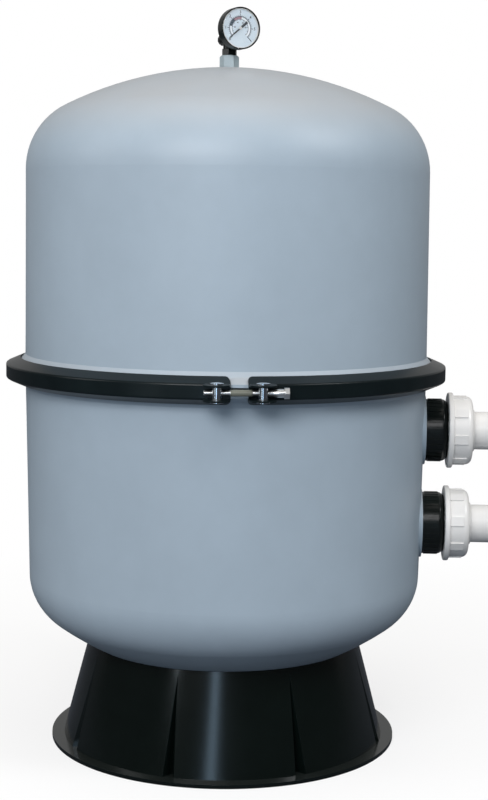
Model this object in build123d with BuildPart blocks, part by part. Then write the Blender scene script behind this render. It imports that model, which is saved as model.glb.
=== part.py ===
from build123d import *
from math import asin, atan2, cos, pi, radians, sin, sqrt, tan
import os

# Side-mount sand filter. Millimetres, +Z up, origin on the floor under the tank axis.
# The two pipe connections point along +X and the clamp closure faces -Y.

os.makedirs("parts", exist_ok=True)

# Clearances
seat_gap = 0.3
thread_gap = 0.05
bore_gap = 0.3

# Tank shells
tank_radius = 265.0
tank_wall = 7.0
rim_rise = 77.0
joint_rise = 3.0
gasket_thickness = 3.0
upper_draft = 0.32
lower_draft = 0.92
upper_wall_height = 260.0
upper_knuckle = 92.0
upper_crown = 470.0
lower_shoulder_height = 224.0
lower_knuckle = 73.0
lower_crown = 385.0
rim_fillet = 5.0

# Clamp band
band_reach = 25.0
band_thickness = 2.5
band_face_height = 18.0
band_lip_gap = 6.5
band_lip_angle = 23.0
band_end_gap = 20.5
band_corner = 6.0
rim_play = 3.0
closure_angle = 6.6

# Closure hardware
pin_spacing = 53.6
pin_offset = 8.0
pin_radius = 5.7
pin_head_radius = 8.2
pin_head_thickness = 2.6
pin_crown = 1.0
lug_radius = 16.0
lug_thickness = 2.1
lug_height = 19.5
bolt_radius = 3.0
bolt_tip = 42.0
bolt_head_start = 51.0
bolt_head_flats = 12.5
bolt_head_height = 6.0
bolt_washer_radius = 6.6
bolt_washer_thickness = 1.0
sleeve_radius = 3.9
sleeve_start = -11.0
sleeve_end = 13.9
spacer_nose_radius = 4.0
spacer_nose_length = 5.4
spacer_shoulder_radius = 5.0

# Base stand
base_sides = 8
base_neck_radius = 181.0
base_neck_drop = 9.0
base_neck_round = 176.0
base_mid_flare = 13.0
base_mid_drop = 58.0
base_mid_round = 60.0
base_foot_flare = 28.0
base_foot_round = 12.0
base_brim_width = 22.0
base_brim_thickness = 5.0
base_wall = 5.0
base_seat_width = 24.0
base_seat_depth = 20.0
groove_angle = -14.5
groove_top_drop = 11.0
groove_top_width = 2.4
groove_foot_width = 17.0
groove_foot_depth = 22.0
groove_top_depth = 3.0

# Side connections
outlet_rise = 69.0
port_pitch = 125.0
pad_radius = 46.0
pad_proud = 1.2
pad_depth = 13.0
port_bore = 21.0
barrel_radius = 30.0
barrel_reach = 20.0
flange_radius = 42.0
flange_thickness = 6.0
wall_gasket_thickness = 3.0
hub_radius = 31.0
hub_length = 26.0
coupling_radius = 41.0
coupling_length = 28.5
coupling_round = 7.0
coupling_ribs = 32
coupling_rib_height = 0.8
coupling_rib_width = 3.0
spigot_radius = 38.0
spigot_length = 19.0
union_flange_radius = 50.0
union_flange_width = 7.0
union_body_radius = 45.0
union_length = 32.5
union_rib_count = 8
union_rib_width = 12.0
union_rib_height = 1.2
union_round = 8.0
inlet_nut_turn = 9.0
outlet_nut_turn = 32.0
union_end_wall = 6.5
union_start_gap = 0.8
union_teeth = 24
tail_collar_radius = 35.5
tail_sleeve_radius = 28.2
tail_reach = 3.0
union_ring_radius = 30.0
union_ring_section = 3.0
pipe_radius = 25.0
pipe_wall = 2.4
pipe_reach = 127.0
pipe_relief = 0.4
socket_depth = 22.0

# Inner pipework
elbow_radius = 29.5
elbow_bend = 38.0
riser_drop = 3.0
diffuser_socket_radius = 30.0
diffuser_radius = 52.0
diffuser_height = 46.0
diffuser_cap_thickness = 4.0
diffuser_wall = 3.5
diffuser_slots = 12
diffuser_slot_width = 9.0
hub_rise = 63.8
hub_body_radius = 46.0
hub_body_height = 36.0
hub_chamber_radius = 32.0
hub_floor = 5.0
hub_neck_radius = 31.0
hub_neck_height = 20.0
lateral_count = 8
lateral_radius = 11.0
lateral_bore = 8.5
lateral_end = 160.0
lateral_seat = 34.0
lateral_slots = 7
lateral_slot_pitch = 14.0
lateral_slot_width = 1.0

# Pressure gauge on the crown
boss_radius = 17.0
boss_depth = 9.0
adapter_flats = 22.0
adapter_height = 16.5
adapter_chamfer = 2.2
adapter_stem_radius = 9.0
adapter_stem_length = 18.0
adapter_bore = 5.0
seal_thickness = 1.5
seal_radius = 13.0
tee_hex_flats = 18.0
tee_hex_height = 8.5
tee_leg_radius = 8.2
tee_barrel_radius = 9.0
tee_rise = 22.0
tee_front = 14.0
tee_back = 12.0
tee_stem_radius = 6.0
tee_stem_length = 12.0
tee_bore = 3.0
tee_leg_bore = 2.4
gauge_angle = 27.5
gauge_rise = 9.8
gauge_front = 36.5
case_radius = 26.7
case_depth = 16.5
case_wall = 1.2
case_lip = 0.4
case_round = 3.0
stem_radius = 5.0
stem_length = 8.0
stem_hex_flats = 13.0
block_width = 11.0
block_depth = 6.0
dial_radius = 24.7
dial_thickness = 0.8
dial_depth = 3.6
lens_thickness = 1.0
lens_crown = 0.4
pointer_reach = 18.8
pointer_tail = 12.0
pointer_width = 1.0
pointer_tail_width = 2.6
pointer_thickness = 0.4
pointer_lift = 0.8
pointer_hub_radius = 2.6
pointer_hub_thickness = 1.0
spindle_radius = 0.9
spindle_length = 6.4
dial_zero_angle = 220.0
tube_radius = 16.0
tube_section_width = 2.0
tube_section_depth = 3.6
tube_arc = 250.0
knob_radius = 7.7
knob_length = 9.0
knob_flutes = 12
bleed_radius = 4.0
bleed_length = 6.0
bleed_ring_section = 1.0

# Drain at the rear of the lower shell
drain_rise = 28.0
drain_pad_radius = 24.0
drain_pad_depth = 10.0
drain_flange_radius = 20.0
drain_flange_thickness = 4.0
drain_gasket_thickness = 2.0
drain_barrel_radius = 13.0
drain_bore = 8.0
drain_nut_flats = 36.0
drain_nut_height = 8.0
drain_thread_length = 13.0
drain_cap_radius = 18.0
drain_cap_ribs = 10
drain_ring_section = 1.2
screen_radius = 10.5
screen_wall = 2.0
screen_length = 55.0
screen_slots = 6

# Levels and radii worked out from the sizes above
outlet_height = lower_shoulder_height + outlet_rise
inlet_height = outlet_height + port_pitch
drain_height = lower_shoulder_height + drain_rise
split_height = inlet_height + rim_rise
upper_shoulder_height = split_height + upper_wall_height
riser_top = upper_shoulder_height - riser_drop
band_radius = tank_radius + band_reach
band_lip_radius = tank_radius + band_lip_gap
pipe_end = tank_radius + pipe_reach
upper_rim_height = split_height + joint_rise + gasket_thickness / 2
lower_rim_height = split_height + joint_rise - gasket_thickness / 2
upper_rise = upper_shoulder_height - upper_rim_height
lower_drop = lower_rim_height - lower_shoulder_height
upper_shoulder_radius = tank_radius - upper_rise * tan(radians(upper_draft))
lower_shoulder_radius = tank_radius - lower_drop * tan(radians(lower_draft))
lip_slope = tan(radians(band_lip_angle))
lip_section = band_thickness / cos(radians(band_lip_angle))
rim_radius = band_radius - band_thickness - rim_play
inner_radius = tank_radius - tank_wall


def crown_centre(radius, knuckle, crown):
    """Distance of a dished head's crown centre from its shoulder, towards the tank."""
    return sqrt((crown - knuckle) ** 2 - (radius - knuckle) ** 2)


def lip_inside(radius):
    """Half height of the clear V inside the clamp band at a radius."""
    return band_face_height / 2 + (band_radius - radius) * lip_slope - lip_section


def wall_radius(height):
    """Outer radius of the lower shell's drafted wall at a height."""
    return tank_radius - (lower_rim_height - height) * tan(radians(lower_draft))


upper_depth = crown_centre(upper_shoulder_radius, upper_knuckle, upper_crown)
lower_depth = crown_centre(lower_shoulder_radius, lower_knuckle, lower_crown)
upper_crown_centre = upper_shoulder_height - upper_depth
lower_crown_centre = lower_shoulder_height + lower_depth
top_height = upper_crown_centre + upper_crown
bottom_height = lower_crown_centre - lower_crown
hub_centre_height = bottom_height + hub_rise
neck_seat = lower_crown_centre - sqrt(lower_crown**2 - base_neck_radius**2)
base_neck_height = neck_seat - base_neck_drop
base_mid_height = base_neck_height - base_mid_drop
base_flat_radius = base_neck_radius + base_foot_flare
base_corner_radius = base_flat_radius / cos(pi / base_sides)
base_foot_radius = base_flat_radius + base_brim_width
groove_top_height = base_neck_height - groove_top_drop


def shell_outline(up, rim, shoulder, shoulder_radius, knuckle, crown, centre, inset):
    """Half section of a dished shell, from its rim to its apex, moved inwards by inset."""
    knuckle_x = shoulder_radius - knuckle
    lean = atan2(knuckle_x, up * (shoulder - centre))
    half = (lean + radians(90)) / 2
    bend = knuckle - inset
    dome = crown - inset
    tangent = (dome * sin(lean), centre + up * dome * cos(lean))
    middle = (knuckle_x + bend * sin(half), shoulder + up * bend * cos(half))
    apex_middle = (dome * sin(lean / 2), centre + up * dome * cos(lean / 2))
    wall = Line((tank_radius - inset, rim), (shoulder_radius - inset, shoulder))
    turn = ThreePointArc(wall @ 1, middle, tangent)
    ThreePointArc(turn @ 1, apex_middle, (0, centre + up * dome))


def rim_outline(up, rim):
    """Half section of the sloped rim that the clamp band squeezes."""
    outer = up * (lip_inside(rim_radius) - seat_gap) + split_height
    root_radius = tank_radius + rim_fillet
    root = up * (lip_inside(root_radius) - seat_gap) + split_height
    Polyline(
        (inner_radius, rim),
        (rim_radius, rim),
        (rim_radius, outer),
        (root_radius, root),
        (tank_radius - 1, root + up * rim_fillet * 1.6),
        (inner_radius, root + up * rim_fillet * 1.6),
        close=True,
    )


def side_plane(height, x):
    """Plane that looks along +X at a side connection."""
    return Plane(origin=(x, 0, height), x_dir=(0, 1, 0), z_dir=(1, 0, 0))


def pad_face(height):
    """Distance from the tank axis to the flat pad of a side connection."""
    return wall_radius(height) + pad_proud


def dome_arc(radius, edge, rise):
    """Arc of a shallow dome, from its edge to its apex on the axis."""
    sphere = (radius**2 + rise**2) / (2 * abs(rise))
    sphere = sphere if rise > 0 else -sphere
    half = asin(radius / abs(sphere)) / 2
    middle = (abs(sphere) * sin(half), edge + rise - sphere + sphere * cos(half))
    return ThreePointArc((radius, edge), middle, (0, edge + rise))


# Upper shell with its threaded crown boss
upper_sizes = [upper_shoulder_height, upper_shoulder_radius, upper_knuckle, upper_crown]
upper_sizes.append(upper_crown_centre)
with BuildPart() as upper_shell:
    with BuildSketch(Plane.XZ):
        with BuildLine():
            shell_outline(1, upper_rim_height, *upper_sizes, 0)
            Line((0, top_height), (0, upper_rim_height))
            Line((0, upper_rim_height), (tank_radius, upper_rim_height))
        make_face()
        with BuildLine():
            rim_outline(1, upper_rim_height)
        make_face()
    revolve(axis=Axis.Z)
    rim_roots = upper_shell.edges().filter_by(GeomType.CIRCLE)
    rim_roots = rim_roots.filter_by(lambda e: abs(e.radius - tank_radius - rim_fillet) < 0.01)
    fillet(rim_roots, rim_fillet)
    with BuildSketch(Plane.XZ):
        with BuildLine():
            shell_outline(1, upper_rim_height, *upper_sizes, tank_wall)
            Line((0, top_height - tank_wall), (0, upper_rim_height))
            Line((0, upper_rim_height), (inner_radius, upper_rim_height))
        make_face()
    revolve(axis=Axis.Z, mode=Mode.SUBTRACT)
    with BuildSketch(Plane.XY.offset(top_height - tank_wall - boss_depth)):
        Circle(boss_radius)
    extrude(amount=boss_depth + tank_wall / 2)
    with BuildSketch(Plane.XY.offset(top_height - seal_thickness)):
        Circle(boss_radius)
    extrude(amount=seal_thickness + 1, mode=Mode.SUBTRACT)
    with BuildSketch(Plane.XY.offset(top_height - tank_wall - boss_depth)):
        Circle(adapter_stem_radius + thread_gap)
    extrude(amount=tank_wall + boss_depth + 1, mode=Mode.SUBTRACT)
upper_shell.part.label = "upper_shell"
export_step(upper_shell.part, "parts/upper_shell.step")


# Lower shell with its flat pads and holes for the side connections and the drain
lower_sizes = [lower_shoulder_height, lower_shoulder_radius, lower_knuckle, lower_crown]
lower_sizes.append(lower_crown_centre)
ports = (inlet_height, outlet_height)
drain_face = wall_radius(drain_height) + pad_proud
drain_plane = Plane(origin=(0, drain_face, drain_height), x_dir=(-1, 0, 0), z_dir=(0, 1, 0))
with BuildPart() as lower_shell:
    with BuildSketch(Plane.XZ):
        with BuildLine():
            shell_outline(-1, lower_rim_height, *lower_sizes, 0)
            Line((0, bottom_height), (0, lower_rim_height))
            Line((0, lower_rim_height), (tank_radius, lower_rim_height))
        make_face()
        with BuildLine():
            rim_outline(-1, lower_rim_height)
        make_face()
    revolve(axis=Axis.Z)
    rim_roots = lower_shell.edges().filter_by(GeomType.CIRCLE)
    rim_roots = rim_roots.filter_by(lambda e: abs(e.radius - tank_radius - rim_fillet) < 0.01)
    fillet(rim_roots, rim_fillet)
    with BuildSketch(Plane.XZ):
        with BuildLine():
            shell_outline(-1, lower_rim_height, *lower_sizes, tank_wall)
            Line((0, bottom_height + tank_wall), (0, lower_rim_height))
            Line((0, lower_rim_height), (inner_radius, lower_rim_height))
        make_face()
    revolve(axis=Axis.Z, mode=Mode.SUBTRACT)
    for height in ports:
        with BuildSketch(side_plane(height, pad_face(height))):
            Circle(pad_radius)
        extrude(amount=-pad_depth)
        with BuildSketch(side_plane(height, pad_face(height) + 1)):
            Circle(barrel_radius + bore_gap)
        extrude(amount=-pad_depth - 2, mode=Mode.SUBTRACT)
    with BuildSketch(drain_plane):
        Circle(drain_pad_radius)
    extrude(amount=-drain_pad_depth)
    with BuildSketch(drain_plane.offset(1)):
        Circle(drain_barrel_radius + bore_gap)
    extrude(amount=-drain_pad_depth - 2, mode=Mode.SUBTRACT)
lower_shell.part.label = "lower_shell"
export_step(lower_shell.part, "parts/lower_shell.step")

# Gasket between the two rims
with BuildPart() as flange_gasket:
    with BuildSketch(Plane.XY.offset(lower_rim_height)):
        Circle(rim_radius - rim_play)
        Circle(tank_radius - tank_wall / 2, mode=Mode.SUBTRACT)
    extrude(amount=gasket_thickness)
flange_gasket.part.label = "flange_gasket"
export_step(flange_gasket.part, "parts/flange_gasket.step")

# Closure directions: u runs along the bolt, v points outwards
closure_turn = closure_angle - 90
closure_out = (cos(radians(closure_turn)), sin(radians(closure_turn)))
closure_along = (-closure_out[1], closure_out[0])
pin_plane_radius = band_radius + pin_offset


def closure_point(along, out, height=0.0):
    """Point at a distance along the bolt and outwards from the tank axis."""
    x = closure_along[0] * along + closure_out[0] * out
    y = closure_along[1] * along + closure_out[1] * out
    return (x, y, split_height + height)


def closure_plane(along, height=0.0):
    """Upright plane across the bolt, which looks along it."""
    return Plane(
        origin=closure_point(along, pin_plane_radius, height),
        x_dir=(closure_out[0], closure_out[1], 0),
        z_dir=(closure_along[0], closure_along[1], 0),
    )


gap_plane = Plane(
    origin=closure_point(0, band_lip_radius - 20),
    x_dir=(closure_along[0], closure_along[1], 0),
    z_dir=(closure_out[0], closure_out[1], 0),
)

# Clamp band: a V section rolled to a ring, with one gap whose ends have round corners
lip_height = band_face_height / 2 + (band_radius - band_lip_radius) * lip_slope
face_inside = lip_inside(band_radius - band_thickness)
with BuildPart() as clamp_band:
    with BuildSketch(Plane.XZ):
        with BuildLine():
            Polyline(
                (band_lip_radius, split_height + lip_inside(band_lip_radius)),
                (band_lip_radius, split_height + lip_height),
                (band_radius, split_height + band_face_height / 2),
                (band_radius, split_height - band_face_height / 2),
                (band_lip_radius, split_height - lip_height),
                (band_lip_radius, split_height - lip_inside(band_lip_radius)),
                (band_radius - band_thickness, split_height - face_inside),
                (band_radius - band_thickness, split_height + face_inside),
                close=True,
            )
        make_face()
    revolve(axis=Axis.Z)
    outer_edges = clamp_band.edges().filter_by(GeomType.CIRCLE)
    fillet(outer_edges.filter_by(lambda e: abs(e.radius - band_radius) < 0.01), band_thickness)
    with BuildSketch(gap_plane):
        Rectangle(band_end_gap, 4 * lip_height)
        with GridLocations(band_end_gap + band_corner, 2 * lip_height - band_corner, 2, 2):
            Rectangle(band_corner, band_corner)
        with GridLocations(band_end_gap + 2 * band_corner, 2 * (lip_height - band_corner), 2, 2):
            Circle(band_corner, mode=Mode.SUBTRACT)
        Rectangle(band_end_gap, 4 * lip_height)
    extrude(amount=60, mode=Mode.SUBTRACT)
clamp_band.part.label = "clamp_band"
export_step(clamp_band.part, "parts/clamp_band.step")

# Lugs: half-round ears above and below, joined by a web on the band's face
sides = (("left", -1), ("right", 1))
for name, side in sides:
    centre = closure_point(side * pin_spacing / 2, pin_plane_radius)
    with BuildPart() as lug:
        with BuildSketch(Plane.XY.offset(split_height - lug_height / 2)):
            with Locations((centre[0], centre[1])):
                Circle(lug_radius)
            Circle(band_radius + 0.05, mode=Mode.SUBTRACT)
        extrude(amount=lug_height)
        with BuildSketch(Plane.XY.offset(split_height - lug_height / 2 + lug_thickness)):
            Circle(band_radius + 3 * lug_radius)
            Circle(band_radius + lug_thickness / 2, mode=Mode.SUBTRACT)
        extrude(amount=lug_height - 2 * lug_thickness, mode=Mode.SUBTRACT)
        with BuildSketch(Plane.XY.offset(split_height - lug_height)):
            with Locations((centre[0], centre[1])):
                Circle(pin_radius + bore_gap / 2)
        extrude(amount=2 * lug_height, mode=Mode.SUBTRACT)
    lug.part.label = name + "_clamp_lug"
    export_step(lug.part, "parts/" + name + "_clamp_lug.step")

# Trunnion pins with domed heads; the bolt is threaded through the left one
pin_holes = {"left": bolt_radius + thread_gap, "right": bolt_radius + bore_gap}
head_under = lug_height / 2 + 0.1
head_top = head_under + pin_head_thickness
for name, side in sides:
    centre = closure_point(side * pin_spacing / 2, pin_plane_radius)
    with BuildPart() as pin:
        with BuildSketch(Plane(origin=centre, x_dir=(1, 0, 0), z_dir=(0, -1, 0))):
            with BuildLine():
                Line((0, -head_top), (0, head_top))
                dome_arc(pin_head_radius, head_top - pin_crown, pin_crown)
                Polyline(
                    (pin_head_radius, head_top - pin_crown),
                    (pin_head_radius, head_under),
                    (pin_radius, head_under),
                    (pin_radius, -head_under),
                    (pin_head_radius, -head_under),
                    (pin_head_radius, pin_crown - head_top),
                )
                dome_arc(pin_head_radius, pin_crown - head_top, -pin_crown)
            make_face()
        revolve(axis=Axis(centre, (0, 0, 1)))
        with BuildSketch(closure_plane(side * pin_spacing / 2 - 2 * pin_radius)):
            Circle(pin_holes[name])
        extrude(amount=4 * pin_radius, mode=Mode.SUBTRACT)
    pin.part.label = name + "_trunnion_pin"
    export_step(pin.part, "parts/" + name + "_trunnion_pin.step")

# Clamp bolt with a flanged hexagon head
with BuildPart() as clamp_bolt:
    with BuildSketch(closure_plane(-bolt_tip)):
        Circle(bolt_radius)
    extrude(amount=bolt_tip + bolt_head_start)
    tip_edges = clamp_bolt.edges().group_by(Axis(closure_point(0, 0), (*closure_along, 0)))[0]
    chamfer(tip_edges, 0.8)
    with BuildSketch(closure_plane(bolt_head_start)):
        Circle(bolt_washer_radius)
    extrude(amount=bolt_washer_thickness)
    with BuildSketch(closure_plane(bolt_head_start + bolt_washer_thickness)):
        RegularPolygon(bolt_head_flats / 2, 6, major_radius=False)
    extrude(amount=bolt_head_height - bolt_washer_thickness)
clamp_bolt.part.label = "clamp_bolt"
export_step(clamp_bolt.part, "parts/clamp_bolt.step")

# Sleeve on the bolt in the band's gap
with BuildPart() as bolt_sleeve:
    with BuildSketch(closure_plane(sleeve_start)):
        Circle(sleeve_radius)
        Circle(bolt_radius + bore_gap, mode=Mode.SUBTRACT)
    extrude(amount=sleeve_end - sleeve_start)
bolt_sleeve.part.label = "bolt_sleeve"
export_step(bolt_sleeve.part, "parts/bolt_sleeve.step")

# Tapered spacer between the right pin and the bolt's head
spacer_start = pin_spacing / 2 + pin_radius + seat_gap
spacer_end = bolt_head_start - seat_gap
spacer_body = spacer_start + spacer_nose_length
spacer_full = (spacer_body + spacer_end) / 2
bolt_origin = closure_point(0, pin_plane_radius)
bolt_direction = (*closure_along, 0)
with BuildPart() as bolt_spacer:
    with BuildSketch(Plane(origin=bolt_origin, x_dir=bolt_direction, z_dir=(0, 0, 1))):
        with BuildLine():
            Polyline(
                (spacer_start, bolt_radius + bore_gap),
                (spacer_start, spacer_nose_radius),
                (spacer_body, spacer_nose_radius),
                (spacer_full, spacer_shoulder_radius),
                (spacer_end, spacer_shoulder_radius),
                (spacer_end, bolt_radius + bore_gap),
                close=True,
            )
        make_face()
    revolve(axis=Axis(bolt_origin, bolt_direction))
bolt_spacer.part.label = "bolt_spacer"
export_step(bolt_spacer.part, "parts/bolt_spacer.step")

# Base stand: a bell-shaped skirt, thin walled, with V grooves folded into its wall
brim = base_brim_thickness


def skirt_form(inset, foot, top):
    """Solid form of the skirt: eight sided at its foot and round at its neck, moved inwards by inset."""
    sections = (
        (foot, base_flat_radius, base_foot_round),
        (base_mid_height, base_neck_radius + base_mid_flare, base_mid_round),
        (base_neck_height, base_neck_radius, base_neck_round),
    )
    with BuildPart() as form:
        for height, flat_radius, corner_round in sections:
            with BuildSketch(Plane.XY.offset(height)) as section:
                turn = groove_angle - 90
                RegularPolygon(flat_radius - inset, base_sides, major_radius=False, rotation=turn)
                fillet(section.vertices(), corner_round - inset)
        loft()
        with BuildSketch(Plane.XY.offset(base_neck_height)) as neck:
            RegularPolygon(base_neck_radius - inset, base_sides, major_radius=False, rotation=turn)
            fillet(neck.vertices(), base_neck_round - inset)
        extrude(amount=top - base_neck_height)
    return form.part


def groove_triangle(radius, width, depth):
    """V outline across the skirt's wall: open outwards, with its root inwards."""
    Polyline(
        (radius - depth, 0),
        (radius + depth, width),
        (radius + depth, -width),
        close=True,
    )


def groove_wedge(inset, foot):
    """One groove as a wedge that widens and deepens towards the foot."""
    with BuildPart() as wedge:
        with BuildSketch(Plane.XY.offset(groove_top_height + 1.5 * inset)):
            with BuildLine():
                groove_triangle(base_neck_radius, groove_top_width + inset, groove_top_depth + inset)
            make_face()
        with BuildSketch(Plane.XY.offset(foot)):
            with BuildLine():
                foot_width = groove_foot_width + inset
                groove_triangle(base_corner_radius, foot_width, groove_foot_depth + inset)
            make_face()
        loft()
    return wedge.part


base_top = base_neck_height + base_seat_depth + 10
grooves = PolarLocations(0, base_sides, start_angle=groove_angle - 90)
hollow_top = base_neck_height - base_seat_depth
with BuildPart() as base_hollow:
    add(skirt_form(base_wall, -1, base_neck_height + 1))
    with BuildSketch(Plane.XY.offset(hollow_top)):
        Circle(2 * base_neck_radius)
    extrude(amount=2 * base_seat_depth, mode=Mode.SUBTRACT)
    with grooves:
        add(groove_wedge(base_wall, -1), mode=Mode.SUBTRACT)
with BuildPart() as base_stand:
    add(skirt_form(0, brim, base_top))
    with BuildSketch(Plane.XY):
        Circle(base_foot_radius)
    extrude(amount=brim)
    brim_edges = base_stand.edges().filter_by(GeomType.CIRCLE)
    brim_edges = brim_edges.filter_by(lambda e: abs(e.radius - base_foot_radius) < 0.01)
    fillet(brim_edges.sort_by(Axis.Z)[-1], brim / 3)
    with grooves:
        add(groove_wedge(0, brim), mode=Mode.SUBTRACT)
    add(base_hollow.part, mode=Mode.SUBTRACT)
    with BuildSketch(Plane.XY):
        Circle(base_neck_radius - base_seat_width)
    extrude(amount=base_top, mode=Mode.SUBTRACT)
    with BuildSketch(Plane.XZ):
        with BuildLine():
            dish = lower_crown + seat_gap
            ThreePointArc(
                (0, lower_crown_centre - dish),
                (dish * sin(radians(20)), lower_crown_centre - dish * cos(radians(20))),
                (dish * sin(radians(40)), lower_crown_centre - dish * cos(radians(40))),
            )
            Polyline(
                (dish * sin(radians(40)), lower_crown_centre - dish * cos(radians(40))),
                (0, lower_crown_centre - dish * cos(radians(40))),
                (0, lower_crown_centre - dish),
            )
        make_face()
    revolve(axis=Axis.Z, mode=Mode.SUBTRACT)
base_stand.part.label = "base_stand"
export_step(base_stand.part, "parts/base_stand.step")

# Side connections, one set for the inlet above and one for the outlet below
coupling_face = coupling_length
spigot_end = coupling_face + spigot_length
union_start = coupling_face + union_start_gap
union_end = union_start + union_length
collar_start = spigot_end + seat_gap
collar_end = union_end - union_end_wall - seat_gap
connections = (
    ("inlet", inlet_height, inlet_nut_turn),
    ("outlet", outlet_height, outlet_nut_turn),
)
for name, height, nut_turn in connections:
    face = pad_face(height)
    inner_face = face - pad_depth
    flange_face = inner_face - wall_gasket_thickness
    flange_back = flange_face - flange_thickness
    hub_end = flange_back - hub_length

    # Flat gasket inside the tank wall
    with BuildPart() as wall_gasket:
        with BuildSketch(side_plane(height, flange_face)):
            Circle(flange_radius)
            Circle(barrel_radius + bore_gap, mode=Mode.SUBTRACT)
        extrude(amount=wall_gasket_thickness)
    wall_gasket.part.label = name + "_wall_gasket"
    export_step(wall_gasket.part, "parts/" + name + "_wall_gasket.step")

    # Tank fitting: flange inside the tank, barrel through its wall, socket for the cross pipe
    with BuildPart() as tank_fitting:
        with BuildSketch(side_plane(height, flange_back)):
            Circle(flange_radius)
        extrude(amount=flange_thickness)
        chamfer(tank_fitting.edges().group_by(Axis.X)[0], flange_thickness / 4)
        with BuildSketch(side_plane(height, flange_face)):
            Circle(barrel_radius)
        extrude(amount=wall_gasket_thickness + pad_depth + barrel_reach)
        with BuildSketch(side_plane(height, hub_end)):
            Circle(hub_radius)
        extrude(amount=hub_length)
        with BuildSketch(side_plane(height, hub_end - 1)):
            Circle(port_bore)
        extrude(amount=150, mode=Mode.SUBTRACT)
        with BuildSketch(side_plane(height, hub_end - 1)):
            Circle(pipe_radius + thread_gap)
        extrude(amount=socket_depth + 1, mode=Mode.SUBTRACT)
    tank_fitting.part.label = name + "_tank_fitting"
    export_step(tank_fitting.part, "parts/" + name + "_tank_fitting.step")

    # Wall coupling: ribbed grip that screws on the barrel, with a threaded spigot for the union
    with BuildPart() as wall_coupling:
        with BuildSketch(side_plane(height, face)):
            Circle(coupling_radius)
        extrude(amount=coupling_length)
        fillet(wall_coupling.edges().group_by(Axis.X)[-1], coupling_round)
        with BuildSketch(side_plane(height, face + coupling_round / 2)):
            with PolarLocations(coupling_radius, coupling_ribs):
                Rectangle(2 * coupling_rib_height, coupling_rib_width)
        extrude(amount=coupling_length - 1.5 * coupling_round)
        with BuildSketch(side_plane(height, face + coupling_face)):
            Circle(spigot_radius)
        extrude(amount=spigot_length)
        chamfer(wall_coupling.edges().group_by(Axis.X)[-1], 1)
        with BuildSketch(side_plane(height, face - 1)):
            Circle(barrel_radius + thread_gap)
        extrude(amount=barrel_reach + 2, mode=Mode.SUBTRACT)
        with BuildSketch(side_plane(height, face)):
            Circle(port_bore)
        extrude(amount=150, mode=Mode.SUBTRACT)
        with BuildSketch(side_plane(height, face + spigot_end - union_ring_section)):
            Circle(union_ring_radius + union_ring_section)
            Circle(union_ring_radius - union_ring_section, mode=Mode.SUBTRACT)
        extrude(amount=2 * union_ring_section, mode=Mode.SUBTRACT)
    wall_coupling.part.label = name + "_wall_coupling"
    export_step(wall_coupling.part, "parts/" + name + "_wall_coupling.step")

    # O-ring in the spigot's groove
    with BuildPart() as union_ring:
        with BuildSketch(Plane.XZ):
            with Locations((face + spigot_end - union_ring_section / 2, height + union_ring_radius)):
                Circle(union_ring_section / 2)
        revolve(axis=Axis((0, 0, height), (1, 0, 0)))
    union_ring.part.label = name + "_union_ring"
    export_step(union_ring.part, "parts/" + name + "_union_ring.step")

    # Tailpiece: a collar that the union nut pulls in, and a socket for the pipe
    with BuildPart() as union_tail:
        with BuildSketch(side_plane(height, face + collar_start)):
            Circle(tail_collar_radius)
        extrude(amount=collar_end - collar_start)
        with BuildSketch(side_plane(height, face + collar_end)):
            Circle(tail_sleeve_radius)
        extrude(amount=union_end - collar_end + tail_reach)
        chamfer(union_tail.edges().group_by(Axis.X)[-1], 1)
        with BuildSketch(side_plane(height, face)):
            Circle(port_bore)
        extrude(amount=150, mode=Mode.SUBTRACT)
        with BuildSketch(side_plane(height, face + union_end + tail_reach + 1)):
            Circle(pipe_radius - pipe_relief + thread_gap)
        extrude(amount=-(union_end + tail_reach - collar_start - 3) - 1, mode=Mode.SUBTRACT)
    union_tail.part.label = name + "_union_tail"
    export_step(union_tail.part, "parts/" + name + "_union_tail.step")

    # Union nut: broad axial grips, a rear flange and small teeth on the flange's back
    with BuildPart() as union_nut:
        with BuildSketch(side_plane(height, face + union_start)):
            Circle(union_body_radius)
        extrude(amount=union_length)
        fillet(union_nut.edges().group_by(Axis.X)[-1], union_round)
        with BuildSketch(side_plane(height, face + union_start)):
            with PolarLocations(union_body_radius - 1, union_rib_count, start_angle=nut_turn):
                Rectangle(2 + 2 * union_rib_height, union_rib_width)
        extrude(amount=union_length - union_round)
        with BuildSketch(side_plane(height, face + union_start)):
            Circle(union_flange_radius)
        extrude(amount=union_flange_width)
        rim_edges = union_nut.edges().filter_by(GeomType.CIRCLE)
        fillet(rim_edges.filter_by(lambda e: abs(e.radius - union_flange_radius) < 0.01), 2)
        with BuildSketch(side_plane(height, face + union_start - 1)):
            Circle(spigot_radius + thread_gap)
        extrude(amount=union_length - union_end_wall + 1, mode=Mode.SUBTRACT)
        with BuildSketch(side_plane(height, face + union_start)):
            Circle(tail_sleeve_radius + bore_gap)
        extrude(amount=union_length + 1, mode=Mode.SUBTRACT)
        with BuildSketch(side_plane(height, face + union_start)):
            with PolarLocations((spigot_radius + union_flange_radius) / 2, union_teeth):
                Rectangle(union_flange_radius - spigot_radius - 4, 2.2)
        extrude(amount=1.6, mode=Mode.SUBTRACT)
    union_nut.part.label = name + "_union_nut"
    export_step(union_nut.part, "parts/" + name + "_union_nut.step")

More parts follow.
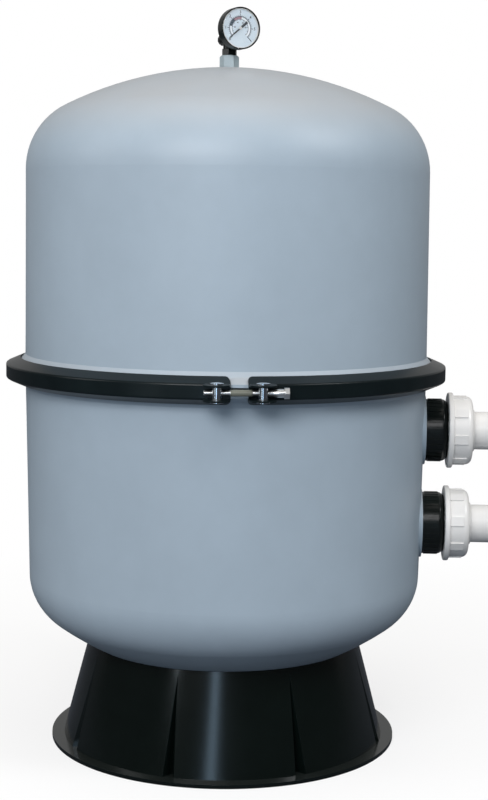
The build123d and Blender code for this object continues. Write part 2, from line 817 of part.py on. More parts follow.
    # Pipe out to the plumbing
    pipe_start = face + collar_start + 3.2
    pipe_free = face + union_end + tail_reach + seat_gap
    with BuildPart() as pipe:
        with BuildSketch(side_plane(height, pipe_start)):
            Circle(pipe_radius - pipe_relief)
        extrude(amount=pipe_free - pipe_start)
        with BuildSketch(side_plane(height, pipe_free)):
            Circle(pipe_radius)
        extrude(amount=pipe_end - pipe_free)
        with BuildSketch(side_plane(height, pipe_start)):
            Circle(pipe_radius - pipe_wall)
        extrude(amount=pipe_end - pipe_start, mode=Mode.SUBTRACT)
    pipe.part.label = name + "_pipe"
    export_step(pipe.part, "parts/" + name + "_pipe.step")

    # Cross pipe from the tank fitting to the elbow on the tank axis
    cross_start = elbow_bend + 1
    cross_end = hub_end + socket_depth - seat_gap
    with BuildPart() as cross_pipe:
        with BuildSketch(side_plane(height, cross_start)):
            Circle(pipe_radius)
            Circle(pipe_radius - pipe_wall, mode=Mode.SUBTRACT)
        extrude(amount=cross_end - cross_start)
    cross_pipe.part.label = name + "_cross_pipe"
    export_step(cross_pipe.part, "parts/" + name + "_cross_pipe.step")

# Elbows on the tank axis: the inlet's turns up, the outlet's turns down
for name, height, up in (("inlet", inlet_height, 1), ("outlet", outlet_height, -1)):
    socket_plane = side_plane(height, elbow_bend + socket_depth)
    turn_height = height + up * elbow_bend
    mouth_height = turn_height + up * socket_depth
    arc_side = elbow_bend * (1 - cos(radians(45)))
    with BuildPart() as elbow:
        with BuildLine(Plane.XZ) as run:
            Line((elbow_bend + socket_depth, height), (elbow_bend, height))
            ThreePointArc((elbow_bend, height), (arc_side, height + up * arc_side), (0, turn_height))
            Line((0, turn_height), (0, mouth_height))
        with BuildSketch(socket_plane):
            Circle(elbow_radius)
        sweep(path=run.wire())
        with BuildSketch(socket_plane):
            Circle(pipe_radius - pipe_wall)
        sweep(path=run.wire(), mode=Mode.SUBTRACT)
        with BuildSketch(Plane.XY.offset(turn_height)):
            Circle(pipe_radius + thread_gap)
        extrude(amount=up * (socket_depth + 1), mode=Mode.SUBTRACT)
        with BuildSketch(side_plane(height, elbow_bend)):
            Circle(pipe_radius + thread_gap)
        extrude(amount=socket_depth + 1, mode=Mode.SUBTRACT)
    elbow.part.label = name + "_elbow"
    export_step(elbow.part, "parts/" + name + "_elbow.step")

# Riser up to the diffuser and down pipe to the lateral hub
hub_top = hub_centre_height + hub_body_height / 2 + hub_neck_height
down_end = hub_top - socket_depth + seat_gap
diffuser_seat = riser_top - socket_depth + seat_gap
for name, start, end in (
    ("riser_pipe", inlet_height + elbow_bend + 1, riser_top),
    ("down_pipe", down_end, outlet_height - elbow_bend - 1),
):
    with BuildPart() as upright:
        with BuildSketch(Plane.XY.offset(start)):
            Circle(pipe_radius)
            Circle(pipe_radius - pipe_wall, mode=Mode.SUBTRACT)
        extrude(amount=end - start)
    upright.part.label = name
    export_step(upright.part, "parts/" + name + ".step")

# Diffuser: a slotted basket under a domed cap, which spreads the water over the sand
diffuser_floor = riser_top + 1
diffuser_top = diffuser_floor + diffuser_height
with BuildPart() as diffuser:
    with BuildSketch(Plane.XZ):
        with BuildLine():
            Polyline(
                (pipe_radius + thread_gap, diffuser_seat),
                (diffuser_socket_radius, diffuser_seat),
                (diffuser_socket_radius, diffuser_floor - diffuser_wall),
                (diffuser_radius, diffuser_floor + diffuser_wall),
                (diffuser_radius, diffuser_top),
            )
            dome_arc(diffuser_radius, diffuser_top, diffuser_cap_thickness)
            Polyline(
                (0, diffuser_top + diffuser_cap_thickness),
                (0, diffuser_top - diffuser_wall),
                (diffuser_radius - diffuser_wall, diffuser_top - diffuser_wall),
                (diffuser_radius - diffuser_wall, diffuser_floor + 2 * diffuser_wall),
                (port_bore, diffuser_floor),
                (port_bore, riser_top + 0.2),
                (pipe_radius + thread_gap, riser_top + 0.2),
                (pipe_radius + thread_gap, diffuser_seat),
            )
        make_face()
    revolve(axis=Axis.Z)
    slot_height = diffuser_height - 5 * diffuser_wall
    with BuildSketch(Plane.XY.offset(diffuser_floor + 3 * diffuser_wall)):
        with PolarLocations(diffuser_radius, diffuser_slots):
            Rectangle(4 * diffuser_wall, diffuser_slot_width)
    extrude(amount=slot_height, mode=Mode.SUBTRACT)
diffuser.part.label = "diffuser"
export_step(diffuser.part, "parts/diffuser.step")

# Lateral hub: a closed chamber that gathers the clean water from the laterals
hub_bottom = hub_centre_height - hub_body_height / 2
lateral_angles = [360 * step / lateral_count for step in range(lateral_count)]


def spoke_plane(angle, reach):
    """Upright plane that looks outwards along a lateral."""
    turn = radians(angle)
    return Plane(
        origin=(reach * cos(turn), reach * sin(turn), hub_centre_height),
        x_dir=(-sin(turn), cos(turn), 0),
        z_dir=(cos(turn), sin(turn), 0),
    )


with BuildPart() as lateral_hub:
    with BuildSketch(Plane.XY.offset(hub_bottom)):
        Circle(hub_body_radius)
    extrude(amount=hub_body_height)
    chamfer(lateral_hub.edges().group_by(Axis.Z)[-1], 4)
    with BuildSketch(Plane.XY.offset(hub_bottom)):
        Circle(hub_neck_radius)
    extrude(amount=hub_top - hub_bottom)
    with BuildSketch(Plane.XY.offset(hub_bottom + hub_floor)):
        Circle(port_bore)
    extrude(amount=hub_top, mode=Mode.SUBTRACT)
    with BuildSketch(Plane.XY.offset(hub_bottom + hub_floor)):
        Circle(hub_chamber_radius)
    extrude(amount=hub_body_height - 2 * hub_floor, mode=Mode.SUBTRACT)
    with BuildSketch(Plane.XY.offset(hub_top - socket_depth)):
        Circle(pipe_radius + thread_gap)
    extrude(amount=socket_depth + 1, mode=Mode.SUBTRACT)
    for angle in lateral_angles:
        with BuildSketch(spoke_plane(angle, hub_chamber_radius - 5)):
            Circle(lateral_radius + thread_gap)
        extrude(amount=hub_body_radius, mode=Mode.SUBTRACT)
lateral_hub.part.label = "lateral_hub"
export_step(lateral_hub.part, "parts/lateral_hub.step")

# Laterals: closed tubes with fine saw cuts that hold the sand back
for number, angle in enumerate(lateral_angles, 1):
    with BuildPart() as lateral:
        with BuildSketch(spoke_plane(angle, lateral_seat)):
            Circle(lateral_radius)
        extrude(amount=lateral_end - lateral_seat)
        end_edges = lateral.edges().filter_by(GeomType.CIRCLE)
        fillet(end_edges.sort_by_distance(spoke_plane(angle, lateral_end).origin)[0], 2)
        with BuildSketch(spoke_plane(angle, lateral_seat - 1)):
            Circle(lateral_bore)
        extrude(amount=lateral_end - lateral_seat - 2, mode=Mode.SUBTRACT)
        for slot in range(lateral_slots):
            reach = hub_body_radius + lateral_slot_pitch * (slot + 1)
            with BuildSketch(spoke_plane(angle, reach)):
                with Locations((0, lateral_radius)):
                    Rectangle(4 * lateral_radius, lateral_radius)
                with Locations((0, -lateral_radius)):
                    Rectangle(4 * lateral_radius, lateral_radius)
            extrude(amount=lateral_slot_width, mode=Mode.SUBTRACT)
    lateral.part.label = "lateral_" + str(number)
    export_step(lateral.part, "parts/lateral_" + str(number) + ".step")

# Drain through the rear of the lower shell
drain_inner = -drain_pad_depth
drain_back = drain_inner - drain_gasket_thickness
with BuildPart() as drain_gasket:
    with BuildSketch(drain_plane.offset(drain_back)):
        Circle(drain_flange_radius)
        Circle(drain_barrel_radius + bore_gap, mode=Mode.SUBTRACT)
    extrude(amount=drain_gasket_thickness)
drain_gasket.part.label = "drain_gasket"
export_step(drain_gasket.part, "parts/drain_gasket.step")

with BuildPart() as drain_fitting:
    with BuildSketch(drain_plane.offset(drain_back - drain_flange_thickness)):
        Circle(drain_flange_radius)
    extrude(amount=drain_flange_thickness)
    with BuildSketch(drain_plane.offset(drain_back)):
        Circle(drain_barrel_radius)
    extrude(amount=-drain_back + drain_nut_height + drain_thread_length)
    with BuildSketch(drain_plane.offset(drain_back - drain_flange_thickness)):
        Circle(drain_bore)
    drain_length = drain_flange_thickness - drain_back + drain_nut_height + drain_thread_length
    extrude(amount=drain_length, mode=Mode.SUBTRACT)
drain_fitting.part.label = "drain_fitting"
export_step(drain_fitting.part, "parts/drain_fitting.step")

with BuildPart() as drain_nut:
    with BuildSketch(drain_plane):
        RegularPolygon(drain_nut_flats / 2, 6, major_radius=False)
        Circle(drain_barrel_radius + thread_gap, mode=Mode.SUBTRACT)
    extrude(amount=drain_nut_height)
drain_nut.part.label = "drain_nut"
export_step(drain_nut.part, "parts/drain_nut.step")

drain_end = drain_nut_height + drain_thread_length
ring_centre = drain_face + drain_end + drain_ring_section / 2
ring_height = drain_height + (drain_barrel_radius + drain_bore) / 2
with BuildPart() as drain_ring:
    with BuildSketch(Plane.YZ):
        with Locations((ring_centre, ring_height)):
            Circle(drain_ring_section / 2)
    revolve(axis=Axis((0, 0, drain_height), (0, 1, 0)))
drain_ring.part.label = "drain_ring"
export_step(drain_ring.part, "parts/drain_ring.step")

cap_start = drain_nut_height + seat_gap
cap_floor = drain_end + drain_ring_section + seat_gap
with BuildPart() as drain_cap:
    with BuildSketch(drain_plane.offset(cap_start)):
        Circle(drain_cap_radius)
    extrude(amount=cap_floor + drain_ring_section * 2 - cap_start)
    fillet(drain_cap.edges().group_by(Axis.Y)[-1], 2)
    with BuildSketch(drain_plane.offset(cap_start)):
        with PolarLocations(drain_cap_radius, drain_cap_ribs):
            Rectangle(3, 3)
    extrude(amount=drain_thread_length - 2)
    with BuildSketch(drain_plane.offset(cap_start)):
        Circle(drain_barrel_radius + thread_gap)
    extrude(amount=cap_floor - cap_start, mode=Mode.SUBTRACT)
drain_cap.part.label = "drain_cap"
export_step(drain_cap.part, "parts/drain_cap.step")

screen_start = drain_back - drain_flange_thickness
with BuildPart() as drain_screen:
    with BuildSketch(drain_plane.offset(screen_start)):
        Circle(screen_radius)
    extrude(amount=-screen_length)
    with BuildSketch(drain_plane.offset(screen_start + 1)):
        Circle(screen_radius - screen_wall)
    extrude(amount=-screen_length - 1 + screen_wall, mode=Mode.SUBTRACT)
    for slot in range(screen_slots):
        with BuildSketch(drain_plane.offset(screen_start - 8 * (slot + 1))):
            with Locations((0, screen_radius), (0, -screen_radius)):
                Rectangle(4 * screen_radius, screen_radius)
        extrude(amount=lateral_slot_width, mode=Mode.SUBTRACT)
drain_screen.part.label = "drain_screen"
export_step(drain_screen.part, "parts/drain_screen.step")

# Gauge branch on the crown: seal, grey hexagon adapter and black tee
seal_base = top_height - seal_thickness
with BuildPart() as adapter_seal:
    with BuildSketch(Plane.XY.offset(seal_base)):
        Circle(seal_radius)
        Circle(adapter_stem_radius + bore_gap, mode=Mode.SUBTRACT)
    extrude(amount=seal_thickness)
adapter_seal.part.label = "adapter_seal"
export_step(adapter_seal.part, "parts/adapter_seal.step")

adapter_top = top_height + adapter_height
with BuildPart() as gauge_adapter:
    with BuildSketch(Plane.XY.offset(top_height)):
        RegularPolygon(adapter_flats / 2, 6, major_radius=False)
    extrude(amount=adapter_height)
    with BuildSketch(Plane.XZ):
        with BuildLine():
            corner = adapter_flats / 2 / cos(radians(30))
            Polyline(
                (0, top_height),
                (corner + 0.1, top_height),
                (corner + 0.1, adapter_top - adapter_chamfer),
                (corner - adapter_chamfer, adapter_top),
                (0, adapter_top),
                close=True,
            )
        make_face()
    revolve(axis=Axis.Z, mode=Mode.INTERSECT)
    with BuildSketch(Plane.XY.offset(top_height - adapter_stem_length)):
        Circle(adapter_stem_radius)
    extrude(amount=adapter_stem_length)
    with BuildSketch(Plane.XY.offset(top_height - adapter_stem_length)):
        Circle(adapter_bore)
    extrude(amount=adapter_stem_length + adapter_height, mode=Mode.SUBTRACT)
    with BuildSketch(Plane.XY.offset(adapter_top - tee_stem_length - 1)):
        Circle(tee_stem_radius + thread_gap)
    extrude(amount=tee_stem_length + 2, mode=Mode.SUBTRACT)
gauge_adapter.part.label = "gauge_adapter"
export_step(gauge_adapter.part, "parts/gauge_adapter.step")

facing = (sin(radians(gauge_angle)), -cos(radians(gauge_angle)), 0)
right = (cos(radians(gauge_angle)), sin(radians(gauge_angle)), 0)
tee_height = adapter_top + tee_rise
gauge_height = tee_height + gauge_rise


def gauge_plane(front, height):
    """Plane that faces the way the dial does, at a distance in front of the tank axis."""
    origin = (facing[0] * front, facing[1] * front, height)
    return Plane(origin=origin, x_dir=right, z_dir=facing)


with BuildPart() as gauge_tee:
    with BuildSketch(Plane.XY.offset(adapter_top)):
        RegularPolygon(tee_hex_flats / 2, 6, major_radius=False, rotation=gauge_angle)
    extrude(amount=tee_hex_height)
    chamfer(gauge_tee.edges().group_by(Axis.Z)[-1], 0.8)
    with BuildSketch(Plane.XY.offset(adapter_top + tee_hex_height)):
        Circle(tee_leg_radius)
    extrude(amount=tee_rise - tee_hex_height)
    with BuildSketch(gauge_plane(-tee_back, tee_height)):
        Circle(tee_barrel_radius)
    extrude(amount=tee_back + tee_front)
    with BuildSketch(Plane.XY.offset(adapter_top - tee_stem_length)):
        Circle(tee_stem_radius)
    extrude(amount=tee_stem_length)
    with BuildSketch(Plane.XY.offset(adapter_top - tee_stem_length - 1)):
        Circle(tee_leg_bore)
    extrude(amount=tee_stem_length + 1 + tee_rise, mode=Mode.SUBTRACT)
    with BuildSketch(gauge_plane(-tee_back - 1, tee_height)):
        Circle(tee_bore)
    extrude(amount=tee_back + tee_front + 2, mode=Mode.SUBTRACT)
    with BuildSketch(gauge_plane(tee_front - stem_length - 0.5, tee_height)):
        Circle(stem_radius + thread_gap)
    extrude(amount=stem_length + 1, mode=Mode.SUBTRACT)
    with BuildSketch(gauge_plane(-tee_back - 1, tee_height)):
        Circle(bleed_radius + thread_gap)
    extrude(amount=bleed_length + 1.5, mode=Mode.SUBTRACT)
gauge_tee.part.label = "gauge_tee"
export_step(gauge_tee.part, "parts/gauge_tee.step")

# Bleed screw with a fluted knob, and its ring
with BuildPart() as bleed_screw:
    knob_front = -tee_back - bleed_ring_section
    with BuildSketch(gauge_plane(knob_front, tee_height)):
        Circle(knob_radius)
    extrude(amount=-knob_length)
    knob_edges = bleed_screw.edges().filter_by(GeomType.CIRCLE)
    fillet(knob_edges.sort_by_distance(gauge_plane(knob_front - knob_length, tee_height).origin)[0], 1)
    with BuildSketch(gauge_plane(knob_front, tee_height)):
        with PolarLocations(knob_radius + 0.7, knob_flutes):
            Circle(1.3)
    extrude(amount=-knob_length, mode=Mode.SUBTRACT)
    with BuildSketch(gauge_plane(knob_front, tee_height)):
        Circle(bleed_radius)
    extrude(amount=bleed_length + bleed_ring_section)
bleed_screw.part.label = "bleed_screw"
export_step(bleed_screw.part, "parts/bleed_screw.step")

with BuildPart() as bleed_ring:
    with BuildSketch(gauge_plane(-tee_back - bleed_ring_section * 0.9, tee_height)):
        Circle(bleed_radius + 2)
        Circle(bleed_radius + bore_gap, mode=Mode.SUBTRACT)
    extrude(amount=bleed_ring_section * 0.8)
bleed_ring.part.label = "bleed_ring"
export_step(bleed_ring.part, "parts/bleed_ring.step")

# Gauge: case, stem with its spring tube, block, dial, pointer and lens
case_back = gauge_front - case_depth
lens_seat = gauge_front - lens_thickness - case_lip
with BuildPart() as gauge_case:
    with BuildSketch(gauge_plane(case_back, gauge_height)):
        Circle(case_radius)
    extrude(amount=case_depth)
    case_edges = gauge_case.edges().filter_by(GeomType.CIRCLE)
    fillet(case_edges.sort_by_distance(gauge_plane(case_back, gauge_height).origin)[0], case_round)
    with BuildSketch(gauge_plane(case_back + case_wall, gauge_height)):
        Circle(case_radius - case_wall - 0.6)
    extrude(amount=case_depth, mode=Mode.SUBTRACT)
    with BuildSketch(gauge_plane(lens_seat, gauge_height)):
        Circle(case_radius - case_wall)
    extrude(amount=case_depth, mode=Mode.SUBTRACT)
    with BuildSketch(gauge_plane(case_back - 1, tee_height)):
        Circle(stem_radius + bore_gap)
    extrude(amount=case_wall + 2, mode=Mode.SUBTRACT)
gauge_case.part.label = "gauge_case"
export_step(gauge_case.part, "parts/gauge_case.step")

block_front = case_back + case_wall + block_depth
with BuildPart() as gauge_stem:
    with BuildSketch(gauge_plane(tee_front - stem_length, tee_height)):
        Circle(stem_radius)
    extrude(amount=stem_length)
    with BuildSketch(gauge_plane(tee_front, tee_height)):
        RegularPolygon(stem_hex_flats / 2, 6, major_radius=False)
    extrude(amount=case_back - tee_front - 0.1)
    with BuildSketch(gauge_plane(case_back - 0.1, tee_height)):
        Circle(stem_radius)
    extrude(amount=case_wall + 0.2)
    with BuildSketch(gauge_plane(case_back + case_wall + 0.1, tee_height)):
        RectangleRounded(block_width, block_width, 2)
    extrude(amount=block_depth - 2)
    with BuildSketch(gauge_plane(tee_front - stem_length, tee_height)):
        Circle(tee_bore / 2)
    extrude(amount=stem_length + case_back - tee_front + block_depth / 2, mode=Mode.SUBTRACT)
gauge_stem.part.label = "gauge_stem"
export_step(gauge_stem.part, "parts/gauge_stem.step")

# Spring tube: a flat tube bent round in a C, from the block to its closed end
tube_middle = case_back + case_wall + 0.1 + (block_depth - 2) / 2
tube_plane = gauge_plane(tube_middle, gauge_height)
tube_start = 270 - (360 - tube_arc) / 4
with BuildPart() as bourdon_tube:
    with BuildSketch(tube_plane):
        with BuildLine():
            outer_arc = CenterArc((0, 0), tube_radius + tube_section_width / 2, tube_start, -tube_arc)
            inner_arc = CenterArc((0, 0), tube_radius - tube_section_width / 2, tube_start, -tube_arc)
            Line(outer_arc @ 0, inner_arc @ 0)
            Line(outer_arc @ 1, inner_arc @ 1)
        make_face()
    extrude(amount=tube_section_depth / 2, both=True)
    with BuildSketch(tube_plane.offset(-tube_section_depth)):
        with Locations((0, -gauge_rise)):
            Rectangle(block_width + 0.2, block_width + 0.2)
    extrude(amount=2 * tube_section_depth, mode=Mode.SUBTRACT)
bourdon_tube.part.label = "bourdon_tube"
export_step(bourdon_tube.part, "parts/bourdon_tube.step")

# Movement: a back plate on the block, two posts and the bush that carries the pointer's spindle
dial_back = gauge_front - dial_depth - dial_thickness
plate_back = case_back + case_wall + block_depth - 1.8
with BuildPart() as gauge_movement:
    with BuildSketch(gauge_plane(plate_back, gauge_height)):
        with Locations((0, -gauge_rise / 2)):
            RectangleRounded(block_width, gauge_rise + block_width - 1, 3)
    extrude(amount=1.2)
    with BuildSketch(gauge_plane(plate_back, gauge_height)):
        Circle(2.4)
    extrude(amount=dial_back - plate_back - 0.1)
    with BuildSketch(gauge_plane(plate_back, gauge_height)):
        with Locations((0, -gauge_rise - 2)):
            Circle(1.5)
    extrude(amount=dial_back - plate_back - 0.1)
    with BuildSketch(gauge_plane(plate_back - 1, gauge_height)):
        Circle(spindle_radius + thread_gap)
    extrude(amount=20, mode=Mode.SUBTRACT)
gauge_movement.part.label = "gauge_movement"
export_step(gauge_movement.part, "parts/gauge_movement.step")

with BuildPart() as gauge_dial:
    with BuildSketch(gauge_plane(dial_back, gauge_height)):
        Circle(dial_radius)
        Circle(spindle_radius + bore_gap, mode=Mode.SUBTRACT)
    extrude(amount=dial_thickness)
gauge_dial.part.label = "gauge_dial"
export_step(gauge_dial.part, "parts/gauge_dial.step")

# Pointer at its zero, down to the left, with its counterweight tail and spindle
zero = radians(dial_zero_angle)
pointer_plane = Plane(
    origin=gauge_plane(dial_back + dial_thickness + pointer_lift, gauge_height).origin,
    x_dir=(right[0] * cos(zero), right[1] * cos(zero), sin(zero)),
    z_dir=facing,
)
with BuildPart() as gauge_pointer:
    with BuildSketch(pointer_plane):
        with BuildLine():
            Polyline(
                (pointer_reach, 0.15),
                (0, pointer_width / 2 + 0.2),
                (-pointer_tail * 0.3, pointer_tail_width / 2),
                (-pointer_tail, pointer_tail_width / 2),
                (-pointer_tail, -pointer_tail_width / 2),
                (-pointer_tail * 0.3, -pointer_tail_width / 2),
                (0, -pointer_width / 2 - 0.2),
                (pointer_reach, -0.15),
                close=True,
            )
        make_face()
        Circle(pointer_hub_radius)
    extrude(amount=pointer_thickness)
    with BuildSketch(pointer_plane):
        Circle(pointer_hub_radius * 0.7)
    extrude(amount=pointer_hub_thickness)
    with BuildSketch(pointer_plane):
        Circle(spindle_radius)
    extrude(amount=-spindle_length)
gauge_pointer.part.label = "gauge_pointer"
export_step(gauge_pointer.part, "parts/gauge_pointer.step")

with BuildPart() as gauge_lens:
    with BuildSketch(gauge_plane(lens_seat + 0.05, gauge_height)):
        Circle(case_radius - case_wall - 0.05)
    extrude(amount=lens_thickness)
    lens_edges = gauge_lens.edges().filter_by(GeomType.CIRCLE)
    fillet(lens_edges.sort_by_distance(gauge_plane(gauge_front + 9, gauge_height).origin)[0], lens_crown)
gauge_lens.part.label = "gauge_lens"
export_step(gauge_lens.part, "parts/gauge_lens.step")
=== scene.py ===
from math import atan2, cos, pi, radians, sin, sqrt

import bmesh
import bpy
from mathutils import Matrix, Vector


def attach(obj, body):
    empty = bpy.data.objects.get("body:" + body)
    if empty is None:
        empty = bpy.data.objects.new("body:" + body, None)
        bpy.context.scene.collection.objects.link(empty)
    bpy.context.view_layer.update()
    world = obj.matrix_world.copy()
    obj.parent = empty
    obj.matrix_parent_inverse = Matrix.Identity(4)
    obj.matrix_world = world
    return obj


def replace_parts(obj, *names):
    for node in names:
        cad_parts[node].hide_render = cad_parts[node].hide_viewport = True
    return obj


# Looks of the sand filter: finishes, fine parts that the solids leave plain, studio and camera.
# Metres, +Z up. The pipes point along +X and the clamp closure faces -Y.

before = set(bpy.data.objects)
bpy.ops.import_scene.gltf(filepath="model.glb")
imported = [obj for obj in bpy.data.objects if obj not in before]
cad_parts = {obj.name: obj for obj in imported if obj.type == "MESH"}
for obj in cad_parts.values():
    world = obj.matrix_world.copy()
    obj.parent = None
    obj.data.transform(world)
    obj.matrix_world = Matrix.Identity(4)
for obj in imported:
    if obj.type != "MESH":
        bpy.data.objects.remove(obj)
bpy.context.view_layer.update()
print("sand filter loaded:", len(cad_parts), "parts")


def addNode(tree, kind, **settings):
    node = tree.nodes.new(kind)
    for key, value in settings.items():
        setattr(node, key, value)
    return node


def feed(tree, socket, source):   # links another node's socket, or sets a fixed value
    if isinstance(source, bpy.types.NodeSocket):
        tree.links.new(source, socket)
    else:
        socket.default_value = source


def arithmetic(tree, operation, *sources, clamp=False):
    node = addNode(tree, "ShaderNodeMath", operation=operation, use_clamp=clamp)
    for socket, source in zip(node.inputs, sources):
        feed(tree, socket, source)
    return node.outputs[0]


def mapRange(tree, value, start, end, low=0.0, high=1.0, curve="LINEAR"):
    node = addNode(tree, "ShaderNodeMapRange", interpolation_type=curve)
    feed(tree, node.inputs["Value"], value)
    ends = {"From Min": start, "From Max": end, "To Min": low, "To Max": high}
    for label, source in ends.items():
        feed(tree, node.inputs[label], source)
    return node.outputs[0]


def mixValue(tree, factor, one, other):
    node = addNode(tree, "ShaderNodeMix", data_type="FLOAT")
    for place, source in ((0, factor), (2, one), (3, other)):
        feed(tree, node.inputs[place], source)
    return node.outputs[0]


def mixColour(tree, factor, one, other):
    node = addNode(tree, "ShaderNodeMix", data_type="RGBA")
    feed(tree, node.inputs["Factor"], factor)
    for label, source in (("A", one), ("B", other)):
        feed(tree, node.inputs[label], (*source, 1) if isinstance(source, tuple) else source)
    return node.outputs["Result"]


def noise(tree, scale, detail, roughness=0.5):
    place = addNode(tree, "ShaderNodeTexCoord")
    node = addNode(tree, "ShaderNodeTexNoise")
    tree.links.new(place.outputs["Object"], node.inputs["Vector"])
    for label, source in (("Scale", scale), ("Detail", detail), ("Roughness", roughness)):
        feed(tree, node.inputs[label], source)
    return node.outputs["Fac"]


def heightOf(tree, direction):   # Z of a vector socket
    parts = addNode(tree, "ShaderNodeSeparateXYZ")
    tree.links.new(direction, parts.inputs[0])
    return parts.outputs["Z"]


def eitherRay(tree, one, other):   # 1 for light paths of either kind
    path = addNode(tree, "ShaderNodeLightPath")
    return arithmetic(tree, "MAXIMUM", path.outputs[one], path.outputs[other])


def newGroup(name, inputs, outputs):
    group = bpy.data.node_groups.new(name, "ShaderNodeTree")
    for label, value in inputs.items():
        socket = group.interface.new_socket(label, in_out="INPUT", socket_type="NodeSocketFloat")
        socket.default_value = value
    for label in outputs:
        group.interface.new_socket(label, in_out="OUTPUT", socket_type="NodeSocketFloat")
    return group, addNode(group, "NodeGroupInput"), addNode(group, "NodeGroupOutput")


# Skin of moulded plastic: fine grain, a slow waviness and a faint blotchy tone
skin = {
    "grainDetail": 3.0,
    "waveDetail": 2.0,
    "blotchScale": 38.0,
    "blotchDetail": 5.0,
    "blotchRoughness": 0.62,
    "waveInTone": 0.55,
}
skinInputs = {"Grain Scale": 600.0, "Wave Scale": 9.0, "Wave Share": 0.6}
mouldedSkin, groupIn, groupOut = newGroup("mouldedSkin", skinInputs, ["Height", "Tone"])
grain = noise(mouldedSkin, groupIn.outputs["Grain Scale"], skin["grainDetail"])
wave = noise(mouldedSkin, groupIn.outputs["Wave Scale"], skin["waveDetail"])
blotch = noise(mouldedSkin, skin["blotchScale"], skin["blotchDetail"], skin["blotchRoughness"])
height = mixValue(mouldedSkin, groupIn.outputs["Wave Share"], grain, wave)
tone = mixValue(mouldedSkin, skin["waveInTone"], blotch, wave)
mouldedSkin.links.new(height, groupOut.inputs["Height"])
mouldedSkin.links.new(tone, groupOut.inputs["Tone"])

# Dust that settles where a face looks up, in soft patches; on the black plastics this grey is also a painted
# sheen, reflected light painted on up-facing faces
dustPatch = {"detail": 6.0, "contrast": 0.7, "least": 0.6}
dustInputs = {"Start": 0.3, "Full": 1.0, "Patch Scale": 30.0}
upDustAndSheen, groupIn, groupOut = newGroup("upDustAndSheen", dustInputs, ["Mask"])
facing = addNode(upDustAndSheen, "ShaderNodeNewGeometry")
upward = heightOf(upDustAndSheen, facing.outputs["Normal"])
rise = mapRange(upDustAndSheen, upward, groupIn.outputs["Start"], groupIn.outputs["Full"], curve="SMOOTHSTEP")
patch = noise(upDustAndSheen, groupIn.outputs["Patch Scale"], dustPatch["detail"])
thin = arithmetic(upDustAndSheen, "MULTIPLY_ADD", patch, dustPatch["contrast"], dustPatch["least"])
mask = arithmetic(upDustAndSheen, "MULTIPLY", rise, thin, clamp=True)
upDustAndSheen.links.new(mask, groupOut.inputs["Mask"])


def addDustAndSheen(tree, colour, dust):   # colour socket with dust over it, which on the black plastics is partly a painted sheen
    upFacing = addNode(tree, "ShaderNodeGroup", node_tree=upDustAndSheen)
    upFacing.inputs["Start"].default_value = dust["start"]
    upFacing.inputs["Full"].default_value = dust["full"]
    upFacing.inputs["Patch Scale"].default_value = dust["patch"]
    amount = arithmetic(tree, "MULTIPLY", upFacing.outputs["Mask"], dust["amount"])
    return mixColour(tree, amount, colour, dust["colour"])


plainLook = {
    "metallic": 0.0,
    "specular": 0.5,
    "grain": 600.0,
    "wave": 9.0,
    "waveShare": 0.6,
    "tone": 0.1,
    "toneFrom": 0.35,
    "toneTo": 0.65,
    "roughSpread": 0.12,
    "bump": 0.2,
    "bumpDistance": 0.0004,
}


def finish(name, colour, roughness, **changes):   # one moulded or metal finish
    look = {**plainLook, **changes}
    material = bpy.data.materials.new(name)
    material.use_nodes = True
    tree = material.node_tree
    shader = tree.nodes["Principled BSDF"]
    shader.inputs["Metallic"].default_value = look["metallic"]
    shader.inputs["Specular IOR Level"].default_value = look["specular"]
    surface = addNode(tree, "ShaderNodeGroup", node_tree=mouldedSkin)
    surface.inputs["Grain Scale"].default_value = look["grain"]
    surface.inputs["Wave Scale"].default_value = look["wave"]
    surface.inputs["Wave Share"].default_value = look["waveShare"]
    darker = tuple(c * (1 - look["tone"]) for c in colour)
    paler = tuple(min(c * (1 + look["tone"]), 1) for c in colour)
    blend = mapRange(tree, surface.outputs["Tone"], look["toneFrom"], look["toneTo"])
    coloured = mixColour(tree, blend, darker, paler)
    if "dust" in look:
        coloured = addDustAndSheen(tree, coloured, look["dust"])
    tree.links.new(coloured, shader.inputs["Base Color"])
    smoothest = roughness - look["roughSpread"] / 2
    rough = arithmetic(tree, "MULTIPLY_ADD", surface.outputs["Tone"], look["roughSpread"], smoothest)
    tree.links.new(rough, shader.inputs["Roughness"])
    bump = addNode(tree, "ShaderNodeBump")
    bump.inputs["Strength"].default_value = look["bump"]
    bump.inputs["Distance"].default_value = look["bumpDistance"]
    tree.links.new(surface.outputs["Height"], bump.inputs["Height"])
    tree.links.new(bump.outputs["Normal"], shader.inputs["Normal"])
    return material


def wear(node, material):   # puts one material on a solid
    node.data.materials.clear()
    node.data.materials.append(material)


